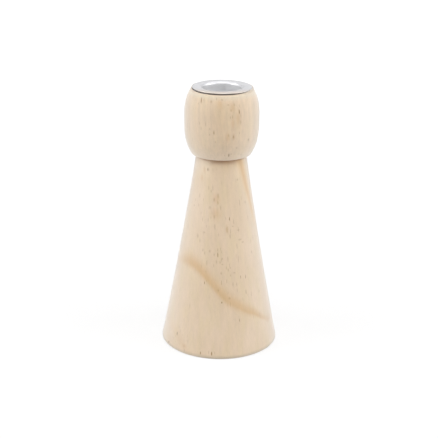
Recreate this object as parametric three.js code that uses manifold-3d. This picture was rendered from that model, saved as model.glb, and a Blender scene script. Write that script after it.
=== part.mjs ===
// A turned pine candlestick: a cone foot, a barrel head and a drop-in metal candle cup.
// Millimetres, +Z up, origin at the centre of the underside.

import * as THREE from "three";
import { mergeVertices } from "three/addons/utils/BufferGeometryUtils.js";
import Module from "manifold-3d";

const wasm = await Module();
wasm.setup();

// Foot: a tall cone with slightly hollow sides
const FOOT_HEIGHT = 112.3;
const FOOT_BASE_RADIUS = 33.7;
const FOOT_NECK_RADIUS = 14.0;
const FOOT_SIDE_HOLLOW = 0.6; // how far the side dips inside a straight cone
const FOOT_BASE_ROUND = 0.9; // sanded round along the edge that stands on the table
const FOOT_NECK_ROUND = 0.4;

// Head: a barrel that is widest a little above its middle
const HEAD_HEIGHT = 36.75;
const HEAD_BELLY_RADIUS = 20.9;
const HEAD_BELLY_HEIGHT = 19.7; // above the head's underside
const HEAD_BOTTOM_RADIUS = 16.65;
const HEAD_TOP_RADIUS = 17.35;
const HEAD_BOTTOM_ROUND = 0.5;
const HEAD_TOP_ROUND = 0.9;

// Candle cup: deep-drawn sheet with a flat flange, for a standard 22 mm taper candle
const CANDLE_DIAMETER = 22;
const CANDLE_FIT = 0.2; // room around the candle
const CUP_SHEET = 0.6;
const CUP_DEPTH = 20; // from the flange's top to the underside of the floor
const CUP_FLANGE_RADIUS = 16.6;
const CUP_MOUTH_ROUND = 1.3; // where the flange turns down into the sleeve
const CUP_FLOOR_ROUND = 2.0;

// Fluted dowel that joins the head to the foot
const DOWEL_RADIUS = 4;
const DOWEL_LENGTH = 30;
const DOWEL_IN_HEAD = 11;
const DOWEL_CHAMFER = 0.8;
const FLUTE_COUNT = 18;
const FLUTE_DEPTH = 0.35;

// Clearances
const SEAT_GAP = 0.35; // the cup bottoms in its bore before its flange meets the wood
const SLEEVE_GAP = 0.3; // around the cup's sleeve in its bore
const CUP_BORE_CHAMFER = 0.6;
const DOWEL_GAP = 0.2; // glue line around the dowel
const DOWEL_END_ROOM = 0.5;
const DOWEL_BORE_CHAMFER = 0.5;
const DRILL_POINT_ANGLE = 118; // degrees, the cone that a twist drill leaves

// Fineness of the curved faces
const TURNING_STEPS = 72;
const CURVE_STEPS = 10;
const ROUND_STEPS = 2;

// Derived sizes
const sleeveInnerRadius = CANDLE_DIAMETER / 2 + CANDLE_FIT;
const sleeveOuterRadius = sleeveInnerRadius + CUP_SHEET;
const cupBoreRadius = sleeveOuterRadius + SLEEVE_GAP;
const dowelBoreRadius = DOWEL_RADIUS + DOWEL_GAP;
const drillPointDepth = dowelBoreRadius / Math.tan(THREE.MathUtils.degToRad(DRILL_POINT_ANGLE / 2));
const dowelInFoot = DOWEL_LENGTH - DOWEL_IN_HEAD;
const cupBoreDepth = CUP_DEPTH - CUP_SHEET - SEAT_GAP;
const cupBoreFloor = HEAD_HEIGHT - cupBoreDepth; // above the head's underside

const pine = new THREE.MeshStandardMaterial({ color: 0xdcc3a0, roughness: 0.62, metalness: 0 });
const beech = new THREE.MeshStandardMaterial({ color: 0xcfa67c, roughness: 0.7, metalness: 0 });
const aluminium = new THREE.MeshStandardMaterial({ color: 0xc9cacc, roughness: 0.28, metalness: 1 });

// A closed geometry as a solid that can be cut and joined.
function solidOf(geometry) {
  geometry.deleteAttribute("normal");
  geometry.deleteAttribute("uv");
  const merged = mergeVertices(geometry);
  return new wasm.Manifold(
    new wasm.Mesh({
      numProp: 3,
      vertProperties: new Float32Array(merged.attributes.position.array),
      triVerts: new Uint32Array(merged.index.array),
    }),
  );
}

// A solid as a geometry again.
function geometryOf(solid) {
  const { vertProperties, triVerts } = solid.getMesh();
  const geometry = new THREE.BufferGeometry();
  geometry.setAttribute("position", new THREE.BufferAttribute(vertProperties, 3));
  geometry.setIndex(new THREE.BufferAttribute(triVerts, 1));
  geometry.computeVertexNormals();
  return geometry;
}

// Turns a closed half-profile, x outwards and y upwards, into a solid about the Z axis.
function turned(name, profile, material) {
  const geometry = new THREE.LatheGeometry(profile, TURNING_STEPS);
  geometry.rotateX(Math.PI / 2);
  const mesh = new THREE.Mesh(geometry, material);
  mesh.name = name;
  return mesh;
}

// The points of a path, with the same number of steps on each of its curves.
function pointsOf(path, steps) {
  return path.curves.flatMap((curve) => curve.getPoints(curve.isLineCurve ? 1 : steps).slice(0, -1));
}

// A quarter round from one point to another, bulging towards the corner between them.
function cornerRound(from, corner, to) {
  const path = new THREE.Path();
  const roundness = 0.5523; // puts a cubic curve on a quarter circle
  path.moveTo(from.x, from.y);
  const first = from.clone().lerp(corner, roundness);
  const second = to.clone().lerp(corner, roundness);
  path.bezierCurveTo(first.x, first.y, second.x, second.y, to.x, to.y);
  return [...pointsOf(path, ROUND_STEPS), to];
}

// A blind dowel hole on the axis, from its face inwards: the chamfered mouth, the wall and the pointed end.
function dowelHole(faceHeight, depth, direction) {
  const wallEnd = faceHeight + direction * depth;
  return [
    new THREE.Vector2(dowelBoreRadius + DOWEL_BORE_CHAMFER, faceHeight),
    new THREE.Vector2(dowelBoreRadius, faceHeight + direction * DOWEL_BORE_CHAMFER),
    new THREE.Vector2(dowelBoreRadius, wallEnd),
    new THREE.Vector2(0, wallEnd + direction * drillPointDepth),
  ];
}

function coneFoot() {
  const base = new THREE.Vector2(FOOT_BASE_RADIUS, 0);
  const neck = new THREE.Vector2(FOOT_NECK_RADIUS, FOOT_HEIGHT);
  const middle = base.clone().lerp(neck, 0.5);
  middle.x -= 2 * FOOT_SIDE_HOLLOW;
  const side = new THREE.QuadraticBezierCurve(base, middle, neck);
  const alongSide = side.getLength();
  const sideStart = side.getPointAt(FOOT_BASE_ROUND / alongSide);
  const sideEnd = side.getPointAt(1 - FOOT_NECK_ROUND / alongSide);
  const sidePoints = [];
  for (let i = 1; i < CURVE_STEPS; i++) {
    sidePoints.push(side.getPoint(i / CURVE_STEPS));
  }
  return turned(
    "cone_foot",
    [
      new THREE.Vector2(0, 0),
      ...cornerRound(new THREE.Vector2(FOOT_BASE_RADIUS - FOOT_BASE_ROUND, 0), base, sideStart),
      ...sidePoints,
      ...cornerRound(sideEnd, neck, new THREE.Vector2(FOOT_NECK_RADIUS - FOOT_NECK_ROUND, FOOT_HEIGHT)),
      ...dowelHole(FOOT_HEIGHT, dowelInFoot + DOWEL_END_ROOM, -1),
    ],
    pine,
  );
}

// Half of the barrel's side, from the belly to one end: the radius falls with the cube of the height.
function barrelHalf(endRadius, endHeight) {
  const rise = endHeight - HEAD_BELLY_HEIGHT;
  return new THREE.CubicBezierCurve(
    new THREE.Vector2(HEAD_BELLY_RADIUS, HEAD_BELLY_HEIGHT),
    new THREE.Vector2(HEAD_BELLY_RADIUS, HEAD_BELLY_HEIGHT + rise / 3),
    new THREE.Vector2(HEAD_BELLY_RADIUS, HEAD_BELLY_HEIGHT + (2 * rise) / 3),
    new THREE.Vector2(endRadius, endHeight),
  );
}

// Points along a curve from its start, ending the given distance short of its end.
function shortOfEnd(curve, distance, steps) {
  const last = 1 - distance / curve.getLength();
  return Array.from({ length: steps + 1 }, (_, i) => curve.getPointAt((last * i) / steps));
}

function barrelHead() {
  const bottomCorner = new THREE.Vector2(HEAD_BOTTOM_RADIUS, 0);
  const topCorner = new THREE.Vector2(HEAD_TOP_RADIUS, HEAD_HEIGHT);
  const lower = shortOfEnd(barrelHalf(HEAD_BOTTOM_RADIUS, 0), HEAD_BOTTOM_ROUND, CURVE_STEPS).reverse();
  const upper = shortOfEnd(barrelHalf(HEAD_TOP_RADIUS, HEAD_HEIGHT), HEAD_TOP_ROUND, CURVE_STEPS);
  const underside = new THREE.Vector2(HEAD_BOTTOM_RADIUS - HEAD_BOTTOM_ROUND, 0);
  const topFace = new THREE.Vector2(HEAD_TOP_RADIUS - HEAD_TOP_ROUND, HEAD_HEIGHT);
  const head = turned(
    "barrel_head",
    [
      ...dowelHole(0, DOWEL_IN_HEAD + DOWEL_END_ROOM, 1).reverse(),
      ...cornerRound(underside, bottomCorner, lower[0]).slice(0, -1),
      ...lower.slice(0, -1),
      ...upper.slice(0, -1),
      ...cornerRound(upper.at(-1), topCorner, topFace),
      new THREE.Vector2(cupBoreRadius + CUP_BORE_CHAMFER, HEAD_HEIGHT),
      new THREE.Vector2(cupBoreRadius, HEAD_HEIGHT - CUP_BORE_CHAMFER),
      new THREE.Vector2(cupBoreRadius, cupBoreFloor),
      new THREE.Vector2(0, cupBoreFloor),
    ],
    pine,
  );
  head.position.z = FOOT_HEIGHT;
  return head;
}

// One face of the sheet, from the axis to the lip: the inner one, or the outer one when set back.
function sheetFace(setBack) {
  const wallRadius = sleeveInnerRadius + setBack;
  const floorRound = CUP_FLOOR_ROUND + setBack;
  const mouthRound = CUP_MOUTH_ROUND - setBack;
  const innerFloor = CUP_SHEET - CUP_DEPTH;
  const bendCentre = new THREE.Vector2(sleeveInnerRadius + CUP_MOUTH_ROUND, -CUP_MOUTH_ROUND);
  const floorCentre = new THREE.Vector2(sleeveInnerRadius - CUP_FLOOR_ROUND, innerFloor + CUP_FLOOR_ROUND);
  const face = new THREE.Path();
  face.moveTo(0, innerFloor - setBack);
  face.lineTo(floorCentre.x, innerFloor - setBack);
  face.absarc(floorCentre.x, floorCentre.y, floorRound, -Math.PI / 2, 0, false);
  face.lineTo(wallRadius, bendCentre.y);
  face.absarc(bendCentre.x, bendCentre.y, mouthRound, Math.PI, Math.PI / 2, true);
  face.lineTo(CUP_FLANGE_RADIUS - CUP_SHEET / 2, -setBack);
  return pointsOf(face, 2 * ROUND_STEPS);
}

function candleCup() {
  const lipRound = CUP_SHEET / 2;
  const lip = new THREE.Path();
  lip.absarc(CUP_FLANGE_RADIUS - lipRound, -lipRound, lipRound, -Math.PI / 2, Math.PI / 2, false);
  const profile = [
    ...sheetFace(CUP_SHEET),
    ...lip.curves[0].getPoints(2 * ROUND_STEPS),
    ...sheetFace(0).reverse(),
  ];
  const cup = turned("candle_cup", profile, aluminium);
  cup.position.z = FOOT_HEIGHT + cupBoreFloor + CUP_DEPTH;
  return cup;
}

// The dowel's cross-section: a round with shallow V-shaped flutes between equal lands.
function flutedOutline() {
  const corners = [];
  for (let quarter = 0; quarter < 4 * FLUTE_COUNT; quarter++) {
    const angle = (quarter * Math.PI) / (2 * FLUTE_COUNT);
    const radius = quarter % 4 === 3 ? DOWEL_RADIUS - FLUTE_DEPTH : DOWEL_RADIUS;
    corners.push(new THREE.Vector2(radius * Math.cos(angle), radius * Math.sin(angle)));
  }
  return new THREE.Shape(corners);
}

function joiningDowel() {
  const rod = new THREE.ExtrudeGeometry(flutedOutline(), { depth: DOWEL_LENGTH, bevelEnabled: false });
  const tipRadius = DOWEL_RADIUS - DOWEL_CHAMFER;
  const chamferedEnds = new THREE.LatheGeometry(
    [
      new THREE.Vector2(0, 0),
      new THREE.Vector2(tipRadius, 0),
      new THREE.Vector2(tipRadius + DOWEL_LENGTH / 2, DOWEL_LENGTH / 2),
      new THREE.Vector2(tipRadius, DOWEL_LENGTH),
      new THREE.Vector2(0, DOWEL_LENGTH),
    ],
    TURNING_STEPS,
  );
  chamferedEnds.rotateX(Math.PI / 2);
  const dowel = new THREE.Mesh(geometryOf(solidOf(rod).intersect(solidOf(chamferedEnds))), beech);
  dowel.name = "joining_dowel";
  dowel.position.z = FOOT_HEIGHT - dowelInFoot;
  return dowel;
}

const candlestick = new THREE.Group();
candlestick.add(coneFoot(), barrelHead(), joiningDowel(), candleCup());

export default candlestick;
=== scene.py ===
# %% [markdown]
# # A turned pine candlestick
#
# This lesson dresses a small candlestick: a pine cone for a foot, a pine barrel for a head, and a
# metal cup in the top that holds one taper candle. The rigid frame comes first. It says where each
# piece is and how big, and every visible piece is then built again on it with a finer surface.
# All lengths in the scene are metres, so a value in millimetres is written with `* MM`.

# %% Load the frame
import bisect
import math

import bmesh
import bpy
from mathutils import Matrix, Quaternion, Vector, noise
from mathutils.geometry import interpolate_bezier


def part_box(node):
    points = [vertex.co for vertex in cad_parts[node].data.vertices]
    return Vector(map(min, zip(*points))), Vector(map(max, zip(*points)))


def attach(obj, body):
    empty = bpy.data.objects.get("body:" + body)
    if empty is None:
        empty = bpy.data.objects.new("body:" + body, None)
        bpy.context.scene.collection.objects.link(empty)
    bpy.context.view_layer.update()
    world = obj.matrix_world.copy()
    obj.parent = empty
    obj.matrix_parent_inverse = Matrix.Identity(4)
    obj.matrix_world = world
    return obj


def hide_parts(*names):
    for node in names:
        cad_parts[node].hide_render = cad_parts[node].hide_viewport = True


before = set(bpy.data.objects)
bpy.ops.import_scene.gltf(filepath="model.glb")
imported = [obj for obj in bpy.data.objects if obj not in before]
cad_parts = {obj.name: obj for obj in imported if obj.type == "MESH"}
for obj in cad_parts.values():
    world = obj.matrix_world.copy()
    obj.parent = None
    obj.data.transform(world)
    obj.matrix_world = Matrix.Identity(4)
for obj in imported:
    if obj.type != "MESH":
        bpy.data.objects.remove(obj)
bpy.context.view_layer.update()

MM = 0.001

# %% [markdown]
# ## The camera
#
# The camera stands as the photographer's did: about 60 cm away, a little above the candlestick and
# looking slightly down. A long lens keeps the sides nearly parallel. The small roll and shift set the
# candlestick in the picture as it was framed. A Track To constraint could aim the camera too, but a
# quaternion worked out once is easier to read, and it leaves room for the roll.

# %% Place the camera
CAMERA_DISTANCE = 594.85 * MM
CAMERA_HEIGHT = 287.7 * MM
AIM_HEIGHT = 74.6 * MM
CAMERA_ROLL = 0.013  # radians
FOCAL_LENGTH = 90.79  # in Blender's millimetres, for a sensor that is 36 wide
SENSOR_WIDTH = 36
FRAME_SHIFT_X = -0.00345  # shares of the picture's width
FRAME_SHIFT_Y = -0.00768

camera = bpy.data.objects.new("camera", bpy.data.cameras.new("camera"))
bpy.context.scene.collection.objects.link(camera)
bpy.context.scene.camera = camera
camera.data.lens = FOCAL_LENGTH
camera.data.sensor_width = SENSOR_WIDTH
camera.data.shift_x = FRAME_SHIFT_X
camera.data.shift_y = FRAME_SHIFT_Y
camera.location = (0, -CAMERA_DISTANCE, CAMERA_HEIGHT)
sight = Vector((0, 0, AIM_HEIGHT)) - camera.location
camera.rotation_mode = "QUATERNION"
camera.rotation_quaternion = sight.to_track_quat("-Z", "Y") @ Quaternion((0, 0, 1), CAMERA_ROLL)
print("the camera looks down by", round(math.degrees(math.atan2(-sight.z, sight.y)), 1), "degrees")

# %% [markdown]
# ## The turned outline
#
# The foot is a cone whose sides are very slightly hollow, and the head swells like a barrel, widest a
# little above its middle. The frame's boxes give the heights and the largest radii, and the few
# sizes that a box can't say are given here. The lathe follows this outline further down. It also
# says where a mark that the photograph shows lies on the wood: a ray from the camera through the
# mark is followed until it comes inside the outline.

# %% Size the outline and look a mark up on it
foot_box, head_box, cup_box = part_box("cone_foot"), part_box("barrel_head"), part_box("candle_cup")
FOOT_TOP = foot_box[1].z
FOOT_BASE_RADIUS = 33.7 * MM
FOOT_NECK_RADIUS = 14.0 * MM
FOOT_SIDE_HOLLOW = 0.6 * MM
HEAD_BOTTOM, HEAD_TOP = head_box[0].z, head_box[1].z
HEAD_BELLY_RADIUS = head_box[1].x
HEAD_BELLY_HEIGHT = HEAD_BOTTOM + 19.7 * MM
HEAD_BOTTOM_RADIUS = 16.65 * MM
HEAD_TOP_RADIUS = 17.35 * MM
PICTURE_SIDE = 438  # pixels
RAY_STEP = 0.2 * MM


def foot_side(share):
    """The foot's radius and height at a share of its height."""
    radius = FOOT_BASE_RADIUS + (FOOT_NECK_RADIUS - FOOT_BASE_RADIUS) * share
    return Vector((radius - 4 * FOOT_SIDE_HOLLOW * share * (1 - share), FOOT_TOP * share))


def barrel_side(end_radius, end_height, share):
    """The head's radius and height at a share of the way from its belly to one end."""
    radius = HEAD_BELLY_RADIUS + (end_radius - HEAD_BELLY_RADIUS) * share**3
    return Vector((radius, HEAD_BELLY_HEIGHT + (end_height - HEAD_BELLY_HEIGHT) * share))


def outline_radius(height):
    """The radius of the turned wood at a height."""
    if height < FOOT_TOP:
        return foot_side(max(height, 0) / FOOT_TOP).x
    if height > HEAD_BELLY_HEIGHT:
        end_radius, end_height = HEAD_TOP_RADIUS, HEAD_TOP
    else:
        end_radius, end_height = HEAD_BOTTOM_RADIUS, HEAD_BOTTOM
    share = (height - HEAD_BELLY_HEIGHT) / (end_height - HEAD_BELLY_HEIGHT)
    return barrel_side(end_radius, end_height, share).x


def seen_at(column, row):
    """The place on the turned wood that shows at a column and a row of the picture."""
    across = (column / PICTURE_SIDE - 0.5 + FRAME_SHIFT_X) * SENSOR_WIDTH / FOCAL_LENGTH
    upwards = (0.5 - row / PICTURE_SIDE + FRAME_SHIFT_Y) * SENSOR_WIDTH / FOCAL_LENGTH
    ray = (camera.rotation_quaternion @ Vector((across, upwards, -1))).normalized()
    place = camera.location + ray * (sight.length - 2 * FOOT_BASE_RADIUS)
    for _ in range(round(4 * FOOT_BASE_RADIUS / RAY_STEP)):
        if math.hypot(place.x, place.y) < outline_radius(place.z):
            break
        place += ray * RAY_STEP
    return place


middle_mark = seen_at(PICTURE_SIDE / 2, PICTURE_SIDE / 2) / MM
print("the middle of the picture shows the wood at", [round(part, 1) for part in middle_mark], "mm")

# %% [markdown]
# ## Shader maths that reads like maths
#
# A procedural finish is a tree of small nodes. Wired one by one, even a short formula takes a page.
# So a socket is wrapped in a class that knows `+`, `-`, `*`, `/` and `**`, and each of them adds one
# Math node. Every other node comes from one method, `node`, which takes the node's type, then its
# settings, then what goes into its sockets. The formulas below can then be read as formulas.

# %% Wrap sockets and nodes
class Value:
    """One output of a node: what a material works out at each point of a surface."""

    def __init__(self, finish, socket):
        self.finish = finish
        self.socket = socket

    def other(self, output):
        """Another output of the node that this value comes from."""
        return Value(self.finish, self.socket.node.outputs[output])

    def _math(self, operation, first, second):
        return self.finish.node("Math", {"operation": operation}, {0: first, 1: second})

    def __add__(self, number):
        return self._math("ADD", self, number)

    def __radd__(self, number):
        return self._math("ADD", number, self)

    def __sub__(self, number):
        return self._math("SUBTRACT", self, number)

    def __rsub__(self, number):
        return self._math("SUBTRACT", number, self)

    def __mul__(self, number):
        return self._math("MULTIPLY", self, number)

    def __rmul__(self, number):
        return self._math("MULTIPLY", number, self)

    def __truediv__(self, number):
        return self._math("DIVIDE", self, number)

    def __rtruediv__(self, number):
        return self._math("DIVIDE", number, self)

    def __pow__(self, number):
        return self._math("POWER", self, number)

    def __rpow__(self, number):
        return self._math("POWER", number, self)


class Finish:
    """The nodes of a new material or of the world, and the one way to add a node."""

    def __init__(self, owner):
        owner.use_nodes = True
        self.owner = owner
        self.tree = owner.node_tree
        self.tree.nodes.clear()

    def node(self, kind, settings=None, sockets=None, output=0):
        """Adds a node: its settings come first, then the values or links of its sockets."""
        made = self.tree.nodes.new("ShaderNode" + kind)
        for name, setting in (settings or {}).items():
            if name == "stops":
                set_stops(made.color_ramp, setting)
            else:
                setattr(made, name, setting)
        for name, value in (sockets or {}).items():
            if isinstance(value, Value):
                self.tree.links.new(value.socket, made.inputs[name])
            else:
                made.inputs[name].default_value = value
        return Value(self, made.outputs[output]) if made.outputs else made


def grey(level):
    """A grey as red, green, blue and alpha."""
    return (level, level, level, 1)


def set_stops(ramp, stops):
    """Gives a colour ramp its stops, each a place and a grey level."""
    while len(ramp.elements) < len(stops):
        ramp.elements.new(1.0)
    for element, (place, level) in zip(ramp.elements, stops):
        element.position = place
        element.color = grey(level)


def new_material(name):
    return Finish(bpy.data.materials.new(name))


# %% [markdown]
# ## Places and patterns
#
# The candlestick's finishes are worked out in millimetres, in each piece's own coordinates, so a
# pattern moves with its piece. Two patterns recur: a soft cloud of noise, and a smooth step that turns
# a slope into an edge. A Noise node's patches are as long as they are wide, so for wood grain or for
# marks of drawing its coordinates are squeezed along one way first.

# %% Places, noise and steps
def stretched(vector, x, y, z):
    """A vector with its parts multiplied by x, y and z."""
    return vector.finish.node("VectorMath", {"operation": "MULTIPLY"}, {0: vector, 1: (x, y, z)})


def in_mm(finish):
    """Where a point of the surface lies in its piece, in millimetres."""
    return stretched(finish.node("TexCoord", output="Object"), 1 / MM, 1 / MM, 1 / MM)


def part_of(vector, axis):
    """One part of a vector: its X, Y or Z."""
    return vector.finish.node("SeparateXYZ", {}, {"Vector": vector}, axis)


def axis_distance(place):
    """Distance from the upright axis through the origin."""
    return place.finish.node("VectorMath", {"operation": "LENGTH"}, {0: stretched(place, 1, 1, 0)}, "Value")


def larger(first, second):
    return first.finish.node("Math", {"operation": "MAXIMUM"}, {0: first, 1: second})


def cloud(vector, across, along, seed, detail=2.0):
    """Noise around 0.5, in patches so many units across in x and y and so many along z."""
    squeezed = stretched(vector, 1 / across, 1 / across, 1 / along)
    sockets = {"Vector": squeezed, "W": seed, "Scale": 1.0, "Detail": detail}
    return vector.finish.node("TexNoise", {"noise_dimensions": "4D"}, sockets)


def between(share, start, end):
    """What goes from start to end while a share goes from 0 to 1."""
    return share * (end - start) + start


def uneven(vector, across, along, seed, swing):
    """A cloud as a factor around 1, with so much between its lowest and its highest."""
    return between(cloud(vector, across, along, seed), 1 - swing / 2, 1 + swing / 2)


def step_up(value, low, high):
    """0 below low, 1 above high and smooth between them."""
    return value.finish.node(
        "MapRange",
        {"interpolation_type": "SMOOTHSTEP"},
        {"Value": value, "From Min": low, "From Max": high, "To Min": 0.0, "To Max": 1.0},
    )


def patches(vector, across, along, seed, low, high):
    """Patches with soft edges: 0 where a cloud is below low and 1 where it is above high."""
    return step_up(cloud(vector, across, along, seed), low, high)


def heights(level, start, end):
    """Two heights in mm above the table, given as distances from a level of the frame."""
    return (level / MM + start, level / MM + end)


print("the head sits on the neck", round(FOOT_TOP / MM, 2), "mm above the table")

# %% [markdown]
# ## Colours and the shader
#
# Colours are easiest to choose as the codes that a paint program shows, but a renderer works in
# linear light, so each code is converted once. A tint is then laid over the colour below it, as
# strongly as the pattern says. Every finish of the candlestick ends in one Principled shader.

# %% Colours, bumps and the closing shader
def paint(code):
    """A colour code such as "dcc3a0" as linear red, green, blue and alpha."""
    parts = [int(code[start : start + 2], 16) / 255 for start in (0, 2, 4)]
    linear = [part / 12.92 if part <= 0.04045 else ((part + 0.055) / 1.055) ** 2.4 for part in parts]
    return (*linear, 1)


def blend_colours(amount, first, second):
    """The first colour where the amount is 0, and the second where it is 1."""
    first_colour, second_colour, result = 6, 7, 2  # where the Mix node keeps its colour sockets
    sockets = {0: amount, first_colour: first, second_colour: second}
    return amount.finish.node("Mix", {"data_type": "RGBA"}, sockets, result)


def tinted(colour, tint, amount, strength):
    """A colour under a tint, which is missing where the amount is 0 and reaches its strength at 1."""
    return blend_colours(amount * strength, colour, tint)


def shaded(colour, tone):
    """A colour made lighter where the tone is above 1 and darker where it is below."""
    return colour.finish.node("VectorMath", {"operation": "SCALE"}, {0: colour, "Scale": tone})


def bumps(height):
    """Heights in mm as a bump for a shader's Normal."""
    return height.finish.node("Bump", {}, {"Strength": 1.0, "Distance": MM, "Height": height})


def end_in_principled(finish, sockets):
    """Ends a material in a Principled shader with these sockets."""
    shader = finish.node("BsdfPrincipled", {}, sockets)
    finish.node("OutputMaterial", {}, {"Surface": shader})
    print(finish.owner.name, "has", len(finish.tree.nodes), "nodes")
    return finish.owner


print("white is", paint("ffffff")[:3], "and mid grey is", [round(part, 3) for part in paint("808080")[:3]])

# %% [markdown]
# ## Where the tree's rings lie
#
# Both turned pieces come from one fast-grown pine stem. The stem's pith runs a few degrees off the
# lathe's axis, so the cone cuts each ring at a slant, and its dark latewood shows as one long amber
# sweep across the front instead of a circle. Painting that sweep on would leave the back and the
# ends wrong. Working out the distance from the pith instead gives rings that agree from every side,
# end grain included. No stem is quite round, so the rings also swell and dip a little on the way round.

# %% Describe the stem
PITH_LEVEL = 60.0  # mm above the table, where the next two values hold
PITH_X, PITH_Y = 1.2, 1.6  # mm from the lathe's axis
PITH_LEAN_X, PITH_LEAN_Y = -0.06, 0.09  # how far the pith moves sideways for each mm up
LOBES = 4  # swells round the stem
LOBE_HEIGHT = 0.32  # mm
LOBE_TURN = -0.04  # radians from the front to the top of one swell
OVAL_HEIGHT = 0.13  # mm by which the stem is oval
OVAL_TURN = 1.77  # radians from the front to its widest side
YEAR_ENDS = [0.0, 7.6, 14.2, 19.7, 25.95, 33.7, 41.0, 47.5]  # mm from the pith to each year's darkest line
FRONT_RING = YEAR_ENDS[4]  # the one that shows as the long amber sweep
INNER_SHIFT = 0.2  # how far a ring lies to the right, for each mm inside the front ring
RING_WANDER = 0.2  # mm that a ring strays in and out, in all
BAND_START, BAND_STOP = 0.7, 0.4  # band thicknesses from the darkest line, inwards and outwards
BAND_THICKNESS = 1.15  # mm in front and behind
BAND_THICKER_LEFT = 0.74  # mm more at the left, and as much less at the right
INNER_BAND_THICKER = 1.7  # mm more in the inner years
INNER_TO_OUTER = (21.5, 24.0)  # mm from the pith, between the broad pale bands and the others
STRONG_SIDE_TWIST = 0.118  # radians that a ring's strongest side moves round for each mm outwards
NARROW_SIDE, BROAD_SIDE = (0.8, 0.97), (-0.6, 0.8)  # cosines of the turn from the strongest side
NARROW_ELSEWHERE = 0.1  # how strongly an inner year shows away from its strongest side
BACK_SIDE = (0.2, 0.7)  # cosines of the turn from the back
BACK_STRENGTH = 0.7
INNER_STRENGTH = 1.15
FADES_TO_BARK = (27.0, 32.0)  # mm from the pith, where latewood gets fainter outwards
FADES_UPWARDS = heights(FOOT_TOP, -34.3, -4.3)  # where latewood fades on its way up
FADING_YEARS = (21.5, 25.0)  # mm from the pith, from the years that don't fade so to those that do
LEFT_AT_BARK, LEFT_ON_HEAD = 0.35, 0.08  # shares of its strength


def from_pith(place):
    """A place in mm as the stem sees it: across from the pith in x and y, and up in z."""
    above = place.z - PITH_LEVEL
    return Vector((place.x - PITH_X - above * PITH_LEAN_X, place.y - PITH_Y - above * PITH_LEAN_Y, place.z))


def stem_place(place):
    """What from_pith gives, worked out in a material."""
    above = part_of(place, "Z") - PITH_LEVEL
    across_x = part_of(place, "X") - PITH_X - above * PITH_LEAN_X
    across_y = part_of(place, "Y") - PITH_Y - above * PITH_LEAN_Y
    return place.finish.node("CombineXYZ", {}, {"X": across_x, "Y": across_y, "Z": part_of(place, "Z")})


def wave(kind, angle):
    """The sine or the cosine of an angle in radians."""
    return angle.finish.node("Math", {"operation": kind}, {0: angle})


def turn_from_front(place):
    """Radians round the upright axis, from the front towards the right."""
    sockets = {0: part_of(place, "X"), 1: 0 - part_of(place, "Y")}
    return place.finish.node("Math", {"operation": "ARCTAN2"}, sockets)


def ring_radius(stem):
    """Millimetres from the pith, evened out where the stem swells or dips."""
    distance, turned = axis_distance(stem), turn_from_front(stem)
    swell = wave("COSINE", (turned - LOBE_TURN) * LOBES) * LOBE_HEIGHT
    swell = swell + wave("COSINE", (turned - OVAL_TURN) * 2) * OVAL_HEIGHT
    aside = wave("SINE", turned) * INNER_SHIFT * larger(FRONT_RING - distance, 0.0)
    wander = (cloud(stem, across=7, along=30, seed=3.1) - 0.5) * RING_WANDER
    return distance - swell + wander - aside


def latewood_band(radius, darkest, thickness):
    """One year's latewood: it comes in over most of the band and stops soon after its darkest line."""
    comes_in = step_up(radius, darkest - thickness * BAND_START, darkest)
    stops = step_up(radius, darkest, darkest + thickness * BAND_STOP)
    return comes_in * (1 - stops)


def latewood_shown(stem, radius):
    """How strongly latewood shows: 0 in pale earlywood and 1 in the darkest line of a year."""
    turned = turn_from_front(stem)
    outer_years = step_up(radius, *INNER_TO_OUTER)
    inner_years = 1 - outer_years
    thickness = BAND_THICKNESS - wave("SINE", turned) * BAND_THICKER_LEFT + inner_years * INNER_BAND_THICKER
    bands = latewood_band(radius, YEAR_ENDS[1], thickness)
    for darkest in YEAR_ENDS[2:]:
        bands = bands + latewood_band(radius, darkest, thickness)
    strong_side = wave("COSINE", turned + (radius - FRONT_RING) * STRONG_SIDE_TWIST)
    narrow = between(step_up(strong_side, *NARROW_SIDE), NARROW_ELSEWHERE, 1)
    broad = step_up(strong_side, *BROAD_SIDE)
    to_bark = step_up(radius, *FADES_TO_BARK)
    upwards = step_up(part_of(stem, "Z"), *FADES_UPWARDS) * step_up(radius, *FADING_YEARS)
    front = between(outer_years, narrow, broad)
    front = front * between(to_bark, 1, LEFT_AT_BARK) * between(upwards, 1, LEFT_ON_HEAD)
    behind = step_up(0 - wave("COSINE", turned), *BACK_SIDE) * BACK_STRENGTH
    patchy = uneven(stem, across=18, along=40, seed=7.7, swing=0.5)
    return bands * larger(front, behind) * patchy * between(inner_years, 1, INNER_STRENGTH)


lean = math.degrees(math.atan(math.hypot(PITH_LEAN_X, PITH_LEAN_Y)))
print("the pith leans by", round(lean, 1), "degrees, and the stem shows", len(YEAR_ENDS) - 1, "years")
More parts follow.
